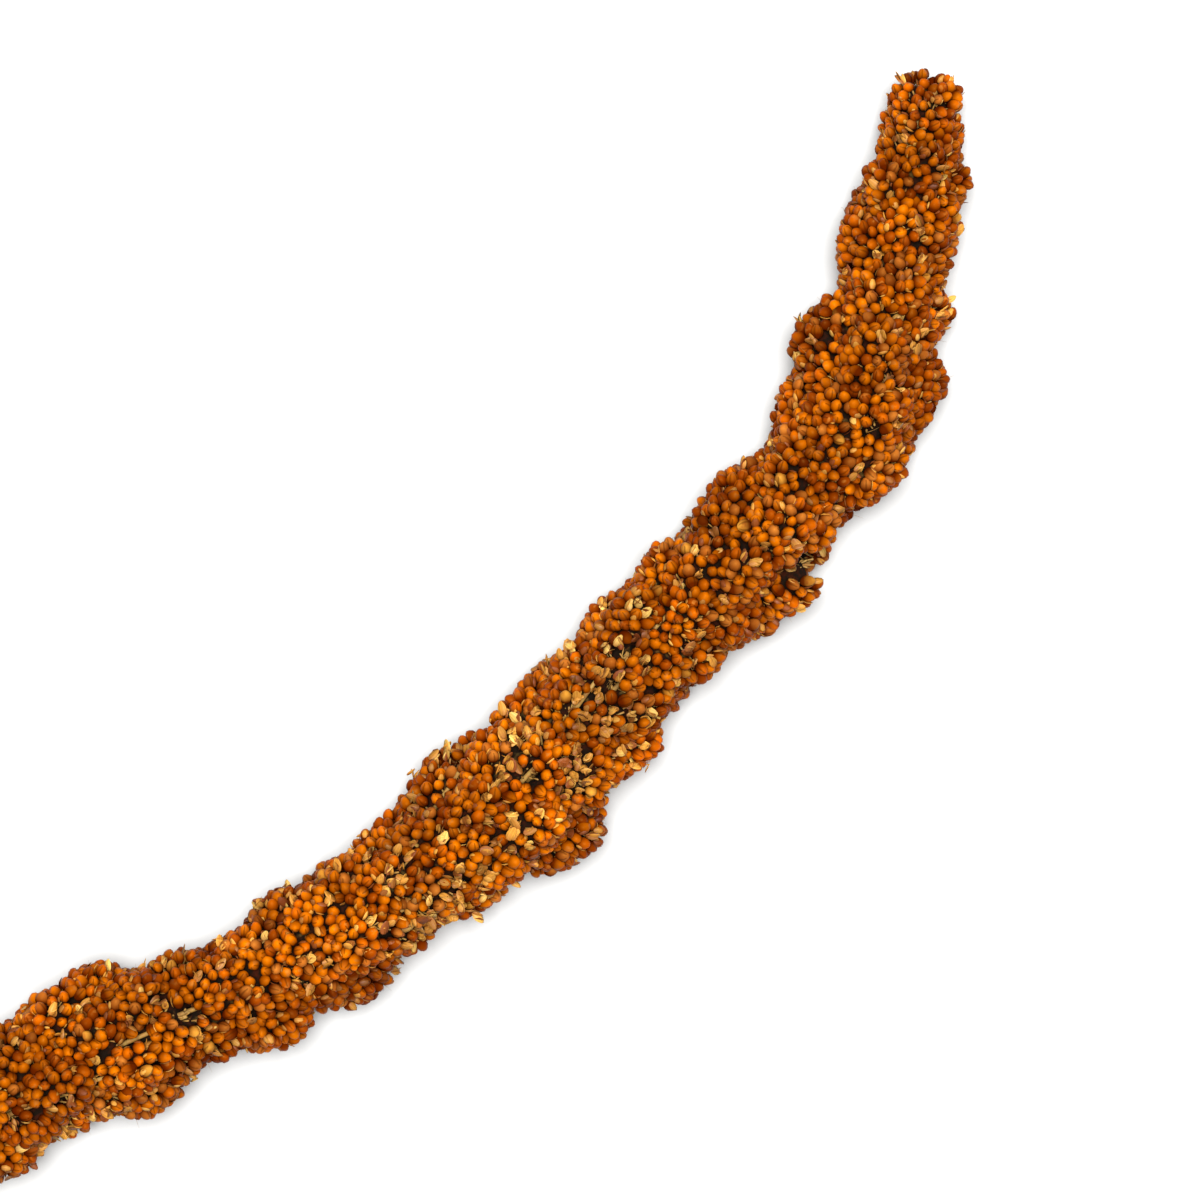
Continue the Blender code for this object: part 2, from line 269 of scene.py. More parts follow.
def smooth(table, at):
    """Reads a smooth curve through a table of (place, value) pairs."""
    places, values = np.array(table).T
    slopes = np.gradient(values, places)
    first = np.clip(np.searchsorted(places, at) - 1, 0, len(places) - 2)
    span = places[first + 1] - places[first]
    t = (at - places[first]) / span
    from_start = (2 * t**3 - 3 * t**2 + 1) * values[first] + (t**3 - 2 * t**2 + t) * span * slopes[first]
    to_end = (3 * t**2 - 2 * t**3) * values[first + 1] + (t**3 - t**2) * span * slopes[first + 1]
    return from_start + to_end


def unit(vectors):
    return vectors / np.linalg.norm(vectors, axis=-1, keepdims=True)


def near_tree(points):
    """A tree that finds the nearest of many places."""
    tree = KDTree(len(points))
    for number, point in enumerate(points):
        tree.insert(point, number)
    tree.balance()
    return tree


class Centreline:
    """The bent centreline, with its own heading, left and up at every place along it."""

    def __init__(self):
        x = np.linspace(BOW[0][0], BOW[-1][0], 1200)
        self.points = np.column_stack([x, smooth(BOW, x), smooth(HEIGHT, x)])
        steps = np.linalg.norm(np.diff(self.points, axis=0), axis=1)
        self.along = np.concatenate([[0.0], np.cumsum(steps)])
        self.heading = unit(np.gradient(self.points, self.along, axis=0))
        self.left = unit(np.cross([0.0, 0.0, 1.0], self.heading))
        self.up = np.cross(self.heading, self.left)
        self.points[:, 0] -= BOX_CENTRE[0]
        self.points[:, 1] -= BOX_CENTRE[1]

    def read(self, values, along):
        return np.stack([np.interp(along, self.along, values[:, k]) for k in range(3)], axis=-1)

    def at(self, along):
        return self.read(self.points, along)

    def turn(self, along, straight):
        """Turns straight directions to the way the head points there."""
        return (self.read(self.heading, along) * straight[..., 0:1]
                + self.read(self.left, along) * straight[..., 1:2]
                + self.read(self.up, along) * straight[..., 2:3])

    def bend(self, straight):
        """Bends straight places (along, left, up) onto the centreline."""
        offset = np.array(straight)
        offset[..., 0] = 0.0
        return self.at(straight[..., 0]) + self.turn(straight[..., 0], offset)

    def straighten(self, points):
        """The distance from the tip and the angle round the head, in degrees, of places in the head."""
        tree = near_tree(self.points)
        nearest = np.array([tree.find(point)[1] for point in points])
        offset = points - self.points[nearest]
        up = (offset * self.up[nearest]).sum(1)
        left = (offset * self.left[nearest]).sum(1)
        return HEAD_END - self.along[nearest], np.degrees(np.arctan2(up, left)) % 360.0


# Worked out once and then kept, like the eggs and the grains below
centreline = functools.cache(Centreline)


def head_radius(along):
    return smooth(RADIUS, HEAD_END - along)


def hollow(back, angle):
    """How deep the outline's hollows are at a distance from the tip and an angle round the head."""
    depth = 0.0
    for place, degrees, deepest in HOLLOWS:
        turn = math.remainder(angle - math.radians(degrees), FULL_TURN)
        depth += deepest * math.exp(-((back - place) / HOLLOW_LENGTH) ** 2 - (turn / HOLLOW_TURN) ** 2)
    return depth


def branch(along, angle, reach, size, tilt):
    """One side branch as an egg: its centre, long axis, half length and half width, straight."""
    half_length = BRANCH_HALF_LENGTH * size
    half_width = BRANCH_HALF_WIDTH * size
    half_depth = math.hypot(half_length * math.sin(tilt), half_width * math.cos(tilt))
    middle = max(head_radius(along) + reach - half_depth - GRAIN_RISE * size, 0.0)
    outward = Vector((0.0, math.cos(angle), math.sin(angle)))
    axis = Vector((math.cos(tilt), 0.0, 0.0)) + outward * math.sin(tilt)
    centre = Vector((along, 0.0, 0.0)) + outward * middle
    return centre, axis, half_length, half_width


def side_branches():
    """All side branches, from the stalk to the tip."""
    rng = random.Random(BRANCH_SEED)
    branches = []
    along = STALK_LENGTH + 0.006
    angle = 0.0
    while along < HEAD_END - 0.005:
        radius = float(head_radius(along))
        size = min(1.0, max(SMALLEST_SCALE, radius / FULL_SIZE_RADIUS))
        reach = rng.uniform(*REACH_RANGE) * size
        tilt = BRANCH_TILT * size + math.radians(rng.uniform(-TILT_SPREAD, TILT_SPREAD))
        turn = angle + math.radians(rng.uniform(-TURN_SPREAD, TURN_SPREAD))
        reach -= hollow(HEAD_END - along, turn)
        branches.append(branch(along, turn, reach, size * rng.uniform(*SIZE_RANGE), tilt))
        along += BRANCH_AREA * size**2 / (FULL_TURN * radius)
        angle += GOLDEN_ANGLE
    for back, degrees, reach in STANDING_OUT + RESTING:
        branches.append(branch(HEAD_END - back, math.radians(degrees), reach, 1.0, BRANCH_TILT))
    back, half_length, half_width = TIP_BRANCH
    branches.append((Vector((HEAD_END - back, 0.0, 0.0)), Vector((1.0, 0.0, 0.0)), half_length, half_width))
    return branches


class Eggs:
    """The side branches where they lie in the bent head, as arrays."""

    def __init__(self):
        straight, axis, self.half_length, self.half_width = map(np.array, zip(*side_branches()))
        self.along = straight[:, 0]
        self.centre = centreline().bend(straight)
        self.axis = centreline().turn(self.along, axis)

    def depth(self, points, number):
        """How far out of the middle of one egg, or each of its own, places are: 1 on the surface."""
        offset = points - self.centre[number]
        along = (offset * self.axis[number]).sum(-1)
        across = (offset * offset).sum(-1) - along**2
        return np.sqrt(along**2 / self.half_length[number] ** 2 + across / self.half_width[number] ** 2)

    def normal(self, points, own):
        """The way out of the egg that each place belongs to."""
        offset = points - self.centre[own]
        along = (offset * self.axis[own]).sum(-1, keepdims=True)
        across = offset - along * self.axis[own]
        return unit(along / self.half_length[own, None] ** 2 * self.axis[own]
                    + across / self.half_width[own, None] ** 2)

    def covered(self, points, own, shares):
        """Whether places lie inside a share of another egg than their own."""
        hidden = np.zeros(len(points), bool)
        for number, share in enumerate(shares):
            hidden |= (self.depth(points, number) < share) & (own != number)
        return hidden

    def nearest_other(self, points, own):
        """How near places are to the nearest other egg than their own: 1 on its surface, more outside."""
        nearest = np.full(len(points), np.inf)
        for number in range(len(self.centre)):
            depth = np.where(own == number, np.inf, self.depth(points, number))
            nearest = np.minimum(nearest, depth)
        return nearest

    def onto(self, points, own):
        """Moves places onto the surface of their own egg."""
        return self.centre[own] + (points - self.centre[own]) / self.depth(points, own)[:, None]


eggs = functools.cache(Eggs)


def spiral(half_length, half_width, spacing, phase):
    """Evenly spaced places on an egg that lies along X."""
    t = np.linspace(-1.0, 1.0, 241)
    belt = half_width * np.sqrt(half_length**2 * (1.0 - t**2) + half_width**2 * t**2)
    area = np.concatenate([[0.0], np.cumsum((belt[1:] + belt[:-1]) / 2.0 * (t[1] - t[0]))])
    count = round(FULL_TURN * area[-1] / (CLOSE_PACKING * spacing**2))
    number = np.arange(count)
    across = np.interp((number + 0.5) / count * area[-1], area, t)
    turn = phase + number * GOLDEN_ANGLE
    off_axis = half_width * np.sqrt(1.0 - across**2)
    return np.column_stack([half_length * across, off_axis * np.cos(turn), off_axis * np.sin(turn)])


def near_pairs(points, reach):
    """Pairs of places that are nearer to each other than the reach."""
    tree = near_tree(points)
    pairs = [(number, other) for number, point in enumerate(points)
             for _, other, _ in tree.find_range(point, reach) if other > number]
    return np.array(pairs, int).reshape(-1, 2).T


def spread_apart(points, own, spacing, rounds=3, steps=4, share=0.3):
    """Pushes neighbouring grains apart until they lie evenly, each still on its own side branch."""
    full_gap = 1.06 * spacing
    for _ in range(rounds):
        first, second = near_pairs(points, 1.5 * spacing)
        for _ in range(steps):
            gap = points[second] - points[first]
            distance = np.linalg.norm(gap, axis=1)
            push = np.clip(full_gap - distance, 0.0, None) * share / np.maximum(distance, 1e-6)
            np.add.at(points, second, gap * push[:, None])
            np.add.at(points, first, -gap * push[:, None])
            points = eggs().onto(points, own)
    return points


def in_spots(points, spots):
    """How near places are to the middle of a spot on the head: 1 there, and 0 at its edge and outside."""
    back, angle = centreline().straighten(points)
    radius = head_radius(HEAD_END - back)
    nearness = np.zeros(len(points))
    for place, degrees, size in spots:
        round_head = np.radians((angle - degrees + 180.0) % 360.0 - 180.0) * radius
        away = np.hypot(back - place, round_head)
        nearness = np.maximum(nearness, 1.0 - away / size)
    return np.clip(nearness, 0.0, 1.0)


class Grains:
    """Where every grain sits, which way it points and what kind it is."""

    def __init__(self, spacing, loose, seed):
        rng = np.random.default_rng(seed)
        self.seat(rng, spacing)
        self.loosen(rng, loose)
        self.choose_kinds(rng)

    def seat(self, rng, spacing):
        """Covers the side branches evenly, apart from the gaps and what another branch hides."""
        points = []
        own = []
        for number in range(len(eggs().centre)):
            places = spiral(eggs().half_length[number], eggs().half_width[number], spacing,
                            rng.uniform(0.0, FULL_TURN))
            to_axis = np.array(Vector(eggs().axis[number]).to_track_quat("X", "Z").to_matrix())
            points.append(eggs().centre[number] + places @ to_axis.T)
            own.append(np.full(len(places), number))
        points = np.concatenate(points)
        own = np.concatenate(own)

        shares = rng.uniform(*HIDING_SHARE, len(eggs().centre))
        keep = ~eggs().covered(points, own, shares + HIDING_PLAY)
        back, _ = centreline().straighten(points)
        off_line = np.linalg.norm(points - centreline().at(HEAD_END - back), axis=1)
        keep &= off_line > FREE_CORE * head_radius(HEAD_END - back)
        gap = in_spots(points, OPEN_GAPS + NOTCH) > 0.0
        self.bare_point, self.bare_own = points[keep & gap], own[keep & gap]
        points, own = points[keep & ~gap], own[keep & ~gap]

        points = spread_apart(points, own, spacing)
        keep = ~eggs().covered(points, own, shares - HIDING_PLAY)
        first, second = near_pairs(points, spacing * TOO_NEAR)
        keep[second[keep[first]]] = False
        self.point, self.own = points[keep], own[keep]
        self.normal = eggs().normal(self.point, self.own)

    def loosen(self, rng, loose):
        """Moves grains a little out of line, and gives each its direction and size."""
        count = len(self.point)
        stand_out = rng.normal(0.0, loose * 0.6, (count, 1)).clip(-loose, loose)
        self.point += self.normal * (0.0001 + stand_out)
        self.point += rng.normal(0.0, loose * 0.35, self.point.shape)
        keep_above(self.point, LOWEST_GRAIN)
        self.axis = unit(0.75 * self.normal + 0.45 * eggs().axis[self.own]
                         + 0.36 * rng.normal(size=self.point.shape))
        self.size = rng.normal(1.0, 0.06, count).clip(0.84, 1.14)
        self.back, self.angle = centreline().straighten(self.point)
        self.size *= np.interp(self.back, [0.0, 0.03], [0.90, 1.0])

    def choose_kinds(self, rng):
        """Gives every grain its tone, paints shade on the flanks and in the creases, and leaves some husks
        empty.
        """
        count = len(self.point)
        self.tone = rng.random(count)
        ripeness = rng.normal(0.0, RIPENESS_SPREAD, len(eggs().centre))
        self.tone = np.clip(self.tone + ripeness[self.own], 0.0, HIGHEST_TONE)
        # Painted shade: grains that face sideways on the head's flanks take the brown tone by chance
        beside = np.clip(1.0 - 1.5 * np.abs(self.normal[:, 2]), 0.0, 1.0)
        self.tone[rng.random(count) < FLANK_SHADE_CHANCE * beside] = FLANK_SHADE_TONE
        self.tone[rng.random(count) < UNRIPE_CHANCE] = UNRIPE_TONE
        self.in_patch = in_spots(self.point, HUSK_PATCHES)
        in_zone = in_spots(self.point, HUSK_ZONES)
        empty_chance = (EMPTY_CHANCE + EMPTY_IN_ZONE * np.minimum(2.0 * in_zone, 1.0)
                        + EMPTY_IN_PATCH * np.minimum(1.6 * self.in_patch, 1.0))
        self.empty = rng.random(count) < empty_chance
        self.spin = rng.uniform(0.0, FULL_TURN, count)
        # Painted shade for grains in the creases near another branch, plus each branch's own random wear
        nearest = eggs().nearest_other(self.point, self.own)
        painted_crease_shade = np.clip((CREASE_REACH - nearest) / (CREASE_REACH - 1.0), 0.0, 1.0)
        worn = rng.random(len(eggs().centre))
        self.shade = CREASE_SHADE * painted_crease_shade + BRANCH_SHADE * worn[self.own]


grains = functools.cache(Grains)


def set_out(context, number):
    """The sizes, the planned grains and the random numbers that one kind of piece works from."""
    settings = context.scene.millet_grains
    plan = grains(settings.spacing, settings.loose, settings.seed)
    return settings, plan, np.random.default_rng(settings.seed + number)


def keep_above(points, height):
    """Lifts places that are lower than a height up to it."""
    points[:, 2] = np.maximum(points[:, 2], height)


def directions(long, spin):
    """A turning matrix for each copy: its Z along the given way, its X spun about it."""
    helper = np.where(np.abs(long[:, 2:3]) < 0.9, [0.0, 0.0, 1.0], [1.0, 0.0, 0.0])
    side = unit(np.cross(helper, long))
    other = np.cross(long, side)
    x = side * np.cos(spin)[:, None] + other * np.sin(spin)[:, None]
    y = np.cross(long, x)
    return np.stack([x, y, long], axis=-1)


def set_layer(mesh, name, values):
    """Stores one value for each vertex under a name that the material reads."""
    values = np.asarray(values, np.float32)
    kind = "FLOAT" if values.ndim == 1 else "FLOAT_VECTOR"
    layer = mesh.attributes.get(name) or mesh.attributes.new(name, kind, "POINT")
    layer.data.foreach_set("value" if values.ndim == 1 else "vector", values.ravel())


def as_mesh(mesh, name):
    """Turns a bmesh into a mesh."""
    data = bpy.data.meshes.new(name)
    mesh.to_mesh(data)
    mesh.free()
    return data


def shown(name, data):
    """A new object in the scene that shows a mesh, a light or a camera."""
    made = bpy.data.objects.new(name, data)
    bpy.context.scene.collection.objects.link(made)
    return made


def read_places(mesh):
    """Where a mesh's vertices are."""
    places = np.empty(len(mesh.vertices) * 3, np.float32)
    mesh.vertices.foreach_get("co", places)
    return places.reshape(-1, 3)


def write_places(mesh, places):
    mesh.vertices.foreach_set("co", places.astype(np.float32).ravel())


def lift_above_surface(mesh):
    """Bends whatever would dip into the surface to lie on it."""
    places = read_places(mesh)
    height = places[:, 2]
    bent = CLEAR_HEIGHT + (BEND_HEIGHT - CLEAR_HEIGHT) * np.exp((height - BEND_HEIGHT) / BEND_LENGTH)
    places[:, 2] = np.where(height < BEND_HEIGHT, bent, height)
    write_places(mesh, places)


def copies(template, turns, sizes, places, name, per_copy):
    """One mesh with a copy of the template at each place, and the named values of each copy."""
    count = len(places)
    corners = read_places(template)
    repeated = bmesh.new()
    for _ in range(count):
        repeated.from_mesh(template)
    made = as_mesh(repeated, name)
    scaled = corners[None] * sizes[:, None, :]
    placed = np.einsum("nij,nvj->nvi", turns, scaled) + places[:, None, :]
    write_places(made, placed)
    for layer, values in per_copy.items():
        set_layer(made, layer, np.repeat(values, len(corners), axis=0))
    lay_out_cells(made, template, count)
    made.update()
    bpy.data.meshes.remove(template)
    return made


def lay_out_cells(made, template, count):
    """Gives every copy a square of its own on the map that holds the surface's colours."""
    layer = template.uv_layers.get("OFBake")
    own = np.empty(len(layer.uv) * 2, np.float32)
    layer.uv.foreach_get("vector", own)
    own = own.reshape(-1, 2)
    across = math.ceil(math.sqrt(count))
    number = np.arange(count)
    corner = np.stack([number % across, number // across], axis=-1)
    cells = (corner[:, None, :] + 0.08 + 0.84 * own[None]) / across
    made.uv_layers["OFBake"].uv.foreach_set("vector", cells.astype(np.float32).ravel())


def unwrap_round(mesh):
    """Lays a ball-shaped bmesh out flat: once round it across the square, and its length up the square."""
    layer = mesh.loops.layers.uv.new("OFBake")
    low = min(vert.co.z for vert in mesh.verts)
    high = max(vert.co.z for vert in mesh.verts)
    for face in mesh.faces:
        middle = face.calc_center_median()
        face_turn = math.atan2(middle.y, middle.x) % FULL_TURN
        for loop in face.loops:
            co = loop.vert.co
            turn = face_turn
            if math.hypot(co.x, co.y) > 1e-7:
                turn += math.remainder(math.atan2(co.y, co.x) - face_turn, FULL_TURN)
            loop[layer].uv = (turn / FULL_TURN, (co.z - low) / (high - low))


def smooth_mesh(mesh, name, parts):
    """Turns a bmesh into a smooth mesh that stores where on its form each vertex is."""
    data = as_mesh(mesh, name)
    data.shade_smooth()
    set_layer(data, "place", parts)
    return data


def grow(mesh, faces):
    """Extrudes a bmesh from its end face, and gives the new end face and its vertices in order."""
    grown = bmesh.ops.extrude_face_region(mesh, geom=faces)["geom"]
    bmesh.ops.delete(mesh, geom=faces, context="FACES_ONLY")
    faces = [item for item in grown if isinstance(item, bmesh.types.BMFace)]
    return faces, [loop.vert for loop in faces[0].loops]


def close(mesh):
    """Closes a bmesh's open end with a face, which it gives, and turns all faces outward."""
    edges = [edge for edge in mesh.edges if edge.is_boundary]
    end = bmesh.ops.contextual_create(mesh, geom=edges)["faces"]
    bmesh.ops.recalc_face_normals(mesh, faces=mesh.faces)
    return end


def grain_template(settings):
    """A grain in its husk: a pointed ball with a rounded back, a flatter front and two creases."""
    mesh = bmesh.new()
    bmesh.ops.create_uvsphere(mesh, u_segments=8, v_segments=6, radius=1.0)
    unwrap_round(mesh)
    parts = []
    for vert in mesh.verts:
        x, y, z = vert.co
        turn = math.degrees(math.atan2(y, x)) % 360.0
        on_side = math.hypot(x, y) > 0.01
        seam = 1.0 if on_side and (abs(turn - 225.0) < 5.0 or abs(turn - 315.0) < 5.0) else 0.0
        front = 1.0 if on_side and abs(turn - 270.0) < 5.0 else 0.0
        slim = 1.0 - 0.14 * max(z, 0.0) ** 2 - 0.10 * seam
        y *= 0.88 if y < 0.0 else 1.0
        vert.co = Vector((x * slim * settings.grain_width / 2.0, y * slim * settings.grain_depth / 2.0,
                          (z + 0.06 * max(z, 0.0) ** 4) * settings.grain_length / 2.0))
        parts.append((0.5 + 0.5 * z, seam, front))
    return smooth_mesh(mesh, "grain", parts)


def scale_template(long, wide, cup, curl, rings, name):
    """A papery scale, cupped like a petal, with its foot at the origin and its hollow side toward -Y."""
    mesh = bmesh.new()
    bmesh.ops.create_uvsphere(mesh, u_segments=6, v_segments=rings, radius=1.0)
    unwrap_round(mesh)
    parts = []
    for vert in mesh.verts:
        x, y, z = vert.co
        along = 0.5 + 0.5 * z
        narrowing = 1.0 - 0.32 * along**2
        sag = cup * (x * narrowing) ** 2 + curl * (2.0 * along - 0.8) ** 2
        vert.co = Vector((x * narrowing * wide / 2.0, y * HALF_SHEET - sag, along * long))
        parts.append((along, abs(x), 0.0))
    return smooth_mesh(mesh, name, parts)


def rod_template(sides, steps, bow, taper, name):
    """A thin rod from the origin up Z, one long and one thick, bowed a little and closed at both ends."""
    mesh = bmesh.new()
    bmesh.ops.create_circle(mesh, cap_ends=True, segments=sides, radius=1.0)
    faces = list(mesh.faces)
    for _ in range(steps):
        faces, top = grow(mesh, faces)
        bmesh.ops.translate(mesh, verts=top, vec=(0.0, 0.0, 1.0 / steps))
    close(mesh)
    unwrap_round(mesh)
    parts = []
    for vert in mesh.verts:
        along = vert.co.z
        vert.co.x *= 1.0 - taper * along
        vert.co.y *= 1.0 - taper * along
        vert.co.x += bow * along**2
        parts.append((along, 0.0, 0.0))
    return smooth_mesh(mesh, name, parts)


class Recipe:
    """One material and the nodes that are added to it."""

    def __init__(self, name):
        self.material = bpy.data.materials.new(name)
        self.material.use_nodes = True
        self.tree = self.material.node_tree
        self.shader = self.tree.nodes["Principled BSDF"]

    def put(self, target, value):
        if isinstance(value, bpy.types.NodeSocket):
            self.tree.links.new(value, target)
        else:
            target.default_value = value

    def add(self, kind, settings=None, **inputs):
        """Adds a node, sets its options and inputs, and returns it."""
        node = self.tree.nodes.new(kind)
        node.location = (-180 * len(self.tree.nodes), 120)
        for option, value in (settings or {}).items():
            setattr(node, option, value)
        for socket, value in inputs.items():
            self.put(node.inputs[socket.replace("_", " ")], value)
        return node

    def layer(self, name, part=None):
        """One of the piece's own stored values: a number, or one part of three."""
        node = self.add("ShaderNodeAttribute", {"attribute_type": "GEOMETRY", "attribute_name": name})
        if part is None:
            return node.outputs["Fac"]
        return self.add("ShaderNodeSeparateXYZ", Vector=node.outputs["Vector"]).outputs[part]

    def noise(self, scale, detail=2.0):
        """Clouds in the object's own space, so many to the metre."""
        place = self.add("ShaderNodeTexCoord").outputs["Object"]
        return self.add("ShaderNodeTexNoise", Scale=scale, Detail=detail, Vector=place).outputs["Fac"]

    def range(self, value, low, high, to_low, to_high):
        """Moves a value from one range to another and holds it there."""
        node = self.add("ShaderNodeMapRange", {"clamp": True}, Value=value)
        for socket, number in zip(list(node.inputs)[1:5], (low, high, to_low, to_high)):
            socket.default_value = number
        return node.outputs["Result"]

    def mix(self, factor, first, second):
        """Mixes two colours."""
        node = self.add("ShaderNodeMix", {"data_type": "RGBA"})
        colours = [socket for socket in node.inputs if socket.type == "RGBA"]
        self.put(node.inputs[0], factor)
        self.put(colours[0], first)
        self.put(colours[1], second)
        return [socket for socket in node.outputs if socket.type == "RGBA"][0]

    def tint(self, main, value, low, high, amount, colour):
        """Mixes in a colour: none where the value is at its low end, the full amount at its high end."""
        return self.mix(self.range(value, low, high, 0.0, amount), main, colour)

    def math(self, operation, first, second=0.0):
        node = self.add("ShaderNodeMath", {"operation": operation})
        self.put(node.inputs[0], first)
        self.put(node.inputs[1], second)
        return node.outputs[0]

    def ramp(self, value, stops):
        """Colours picked from a row of (place, colour) stops."""
        node = self.add("ShaderNodeValToRGB", Fac=value)
        row = node.color_ramp.elements
        row[0].position, row[0].color = stops[0]
        row[1].position, row[1].color = stops[-1]
        for place, shade in stops[1:-1]:
            row.new(place).color = shade
        return node.outputs["Color"]

    def finish(self, base, roughness, height, depth, shine=0.5, strength=1.0):
        """Ends the material: its colour, roughness, shine and a bump so many metres deep."""
        bump = self.add("ShaderNodeBump", Height=height, Distance=depth, Strength=strength)
        self.put(self.shader.inputs["Base Color"], base)
        self.put(self.shader.inputs["Roughness"], roughness)
        self.put(self.shader.inputs["Specular IOR Level"], shine)
        self.put(self.shader.inputs["Normal"], bump.outputs["Normal"])
        return self.material


def grain_material(colours):
    """Satin husk: one tone for each grain, a brown foot deepened with painted shade, painted crease shade,
    dark seams, fine wrinkles.
    """
    recipe = Recipe("satin grain husk")
    tone = recipe.layer("tone")
    along = recipe.layer("place", "X")
    seam = recipe.layer("place", "Y")
    front = recipe.layer("place", "Z")
    # The brown band also carries the painted shade given to grains on the head's flanks
    main = recipe.ramp(tone, [(0.0, colours.red), (0.16, colours.red), (0.28, colours.orange),
                              (0.70, colours.orange), (0.76, colours.brown), (0.88, colours.brown),
                              (0.905, colours.dull), (0.95, colours.dull), (0.98, colours.pale),
                              (1.0, colours.pale)])
    cloud = recipe.noise(700.0, 3.0)
    main = recipe.tint(main, cloud, 0.35, 0.75, 0.5, colours.brown)
    main = recipe.tint(main, recipe.noise(820.0, 1.0), 0.62, 0.66, 0.75, colours.dull)
    main = recipe.tint(main, front, 0.0, 1.0, 0.45, colours.husk_dark)
    # Painted shade in the creases, and each branch's wear, darken toward the foot colour
    main = recipe.mix(recipe.layer("shade"), main, colours.foot)
    # Toward its foot each grain darkens: partly its brown base, partly painted shade between grains
    main = recipe.tint(main, along, 0.93, 0.30, 0.97, colours.foot)
    main = recipe.tint(main, seam, 0.60, 0.95, 0.62, colours.seam)
    height = recipe.math("SUBTRACT", recipe.noise(5200.0), recipe.range(seam, 0.6, 1.0, 0.0, 1.6))
    rough = recipe.range(cloud, 0.3, 0.7, 0.38, 0.54)
    shine = recipe.range(along, 0.40, 0.90, 0.0, 0.14)
    recipe.shader.inputs["Specular Tint"].default_value = (1.0, 0.62, 0.12, 1.0)
    return recipe.finish(main, rough, height, 0.00004, shine)


def papery_material(colours):
    """Dry husk: pale to brown from scale to scale, veined along, browner at the foot, with painted crease
    shade and branch wear.
    """
    recipe = Recipe("papery husk")
    tone = recipe.layer("tone")
    along = recipe.layer("place", "X")
    beside = recipe.layer("place", "Y")
    main = recipe.ramp(tone, [(0.0, colours.husk_dark), (0.18, colours.husk_dark), (0.34, colours.husk_dull),
                              (0.52, colours.husk), (0.78, colours.husk), (1.0, colours.husk_light)])
    main = recipe.tint(main, along, 0.5, 0.0, 0.75, colours.husk_dark)
    main = recipe.tint(main, beside, 0.75, 1.0, 0.4, colours.husk_dark)
    veins = recipe.math("SINE", recipe.math("MULTIPLY", beside, 16.0))
    vein = recipe.range(veins, 0.3, 1.0, 0.0, 0.35)
    main = recipe.mix(vein, main, colours.husk_dark)
    # Painted shade in the creases, and each branch's wear, darken the husks too
    main = recipe.mix(recipe.layer("shade"), main, colours.foot)
    grit = recipe.noise(3000.0, 3.0)
    rough = recipe.range(grit, 0.3, 0.7, 0.45, 0.62)
    return recipe.finish(main, rough, recipe.math("ADD", grit, vein), 0.00004, 0.25)


def stem_material(colours):
    """Dull olive straw with lengthwise streaks and brown spots."""
    recipe = Recipe("olive stem")
    streak = recipe.noise(1400.0, 4.0)
    main = recipe.tint(colours.stem, streak, 0.35, 0.7, 0.6, colours.husk_dark)
    main = recipe.tint(main, recipe.noise(380.0), 0.55, 0.72, 0.6, colours.inside)
    return recipe.finish(main, recipe.range(streak, 0.3, 0.7, 0.55, 0.75), streak, 0.00006, 0.25)


def inside_material(colours):
    """The inside: stems and grain feet deep in the head, coloured near black as painted shade."""
    recipe = Recipe("dark inside")
    clump = recipe.noise(900.0, 4.0)
    # The near-black base is painted shade; the clumps and stem patches are the stems' own colours
    main = recipe.tint(colours.inside, clump, 0.45, 0.75, 0.5, colours.foot)
    main = recipe.tint(main, recipe.noise(420.0), 0.62, 0.75, 0.25, colours.stem)
    return recipe.finish(main, 1.0, clump, 0.0004, 0.1)


def straw_material(colours):
    """The stalk: ribbed straw, greener toward the head, with a pale cut end."""
    recipe = Recipe("ribbed straw")
    along = recipe.layer("place", "X")
    cut = recipe.layer("place", "Z")
    fibre = recipe.layer("place", "Y")
    speck = recipe.noise(900.0, 4.0)
    blotch = recipe.noise(160.0, 3.0)
    main = recipe.tint(colours.straw, speck, 0.3, 0.72, 0.8, colours.stem)
    main = recipe.tint(main, fibre, 0.8, 0.0, 0.65, colours.husk_dark)
    main = recipe.tint(main, blotch, 0.50, 0.68, 0.55, colours.husk_dark)
    main = recipe.tint(main, along, 0.03, 0.06, 0.5, colours.stem)
    main = recipe.mix(cut, main, recipe.tint(colours.pith, speck, 0.45, 0.6, 0.8, colours.stem))
    height = recipe.math("ADD", speck, recipe.math("MULTIPLY", fibre, 0.8))
    return recipe.finish(main, recipe.range(speck, 0.3, 0.7, 0.5, 0.7), height, 0.00005)


def floor_material(colours):
    recipe = Recipe("pale floor")
    speck = recipe.noise(60.0)
    main = recipe.tint(colours.floor, speck, 0.3, 0.7, 0.02, (0.8, 0.8, 0.8, 1.0))
    return recipe.finish(main, 0.7, speck, 0.00002, strength=0.1)


def shared_material(context, name, maker):
    """The material of that name, made the first time that it is asked for."""
    return bpy.data.materials.get(name) or maker(context.scene.millet_colours)


def add_piece(mesh, name, material, slot, *nodes):
    """Shows a finished mesh as a piece of the head."""
    mesh.materials.clear()
    mesh.materials.append(material)
    made = shown(name, mesh)
    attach(made, "root")
    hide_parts(*nodes)


def add_copies(name, material, slot, template, turns, sizes, places, values):
    """Adds a piece that is made of copies of a template and keeps clear of the surface."""
    mesh = copies(template, turns, sizes, places, name, values)
    lift_above_surface(mesh)
    add_piece(mesh, name, material, slot, "seed_head")


def rods_between(start, end, rng):
    """How rods from place to place are turned, each spun at random, and how long they are."""
    run = end - start
    lengths = np.linalg.norm(run, axis=1)
    return directions(run / lengths[:, None], rng.uniform(0.0, FULL_TURN, len(run))), lengths


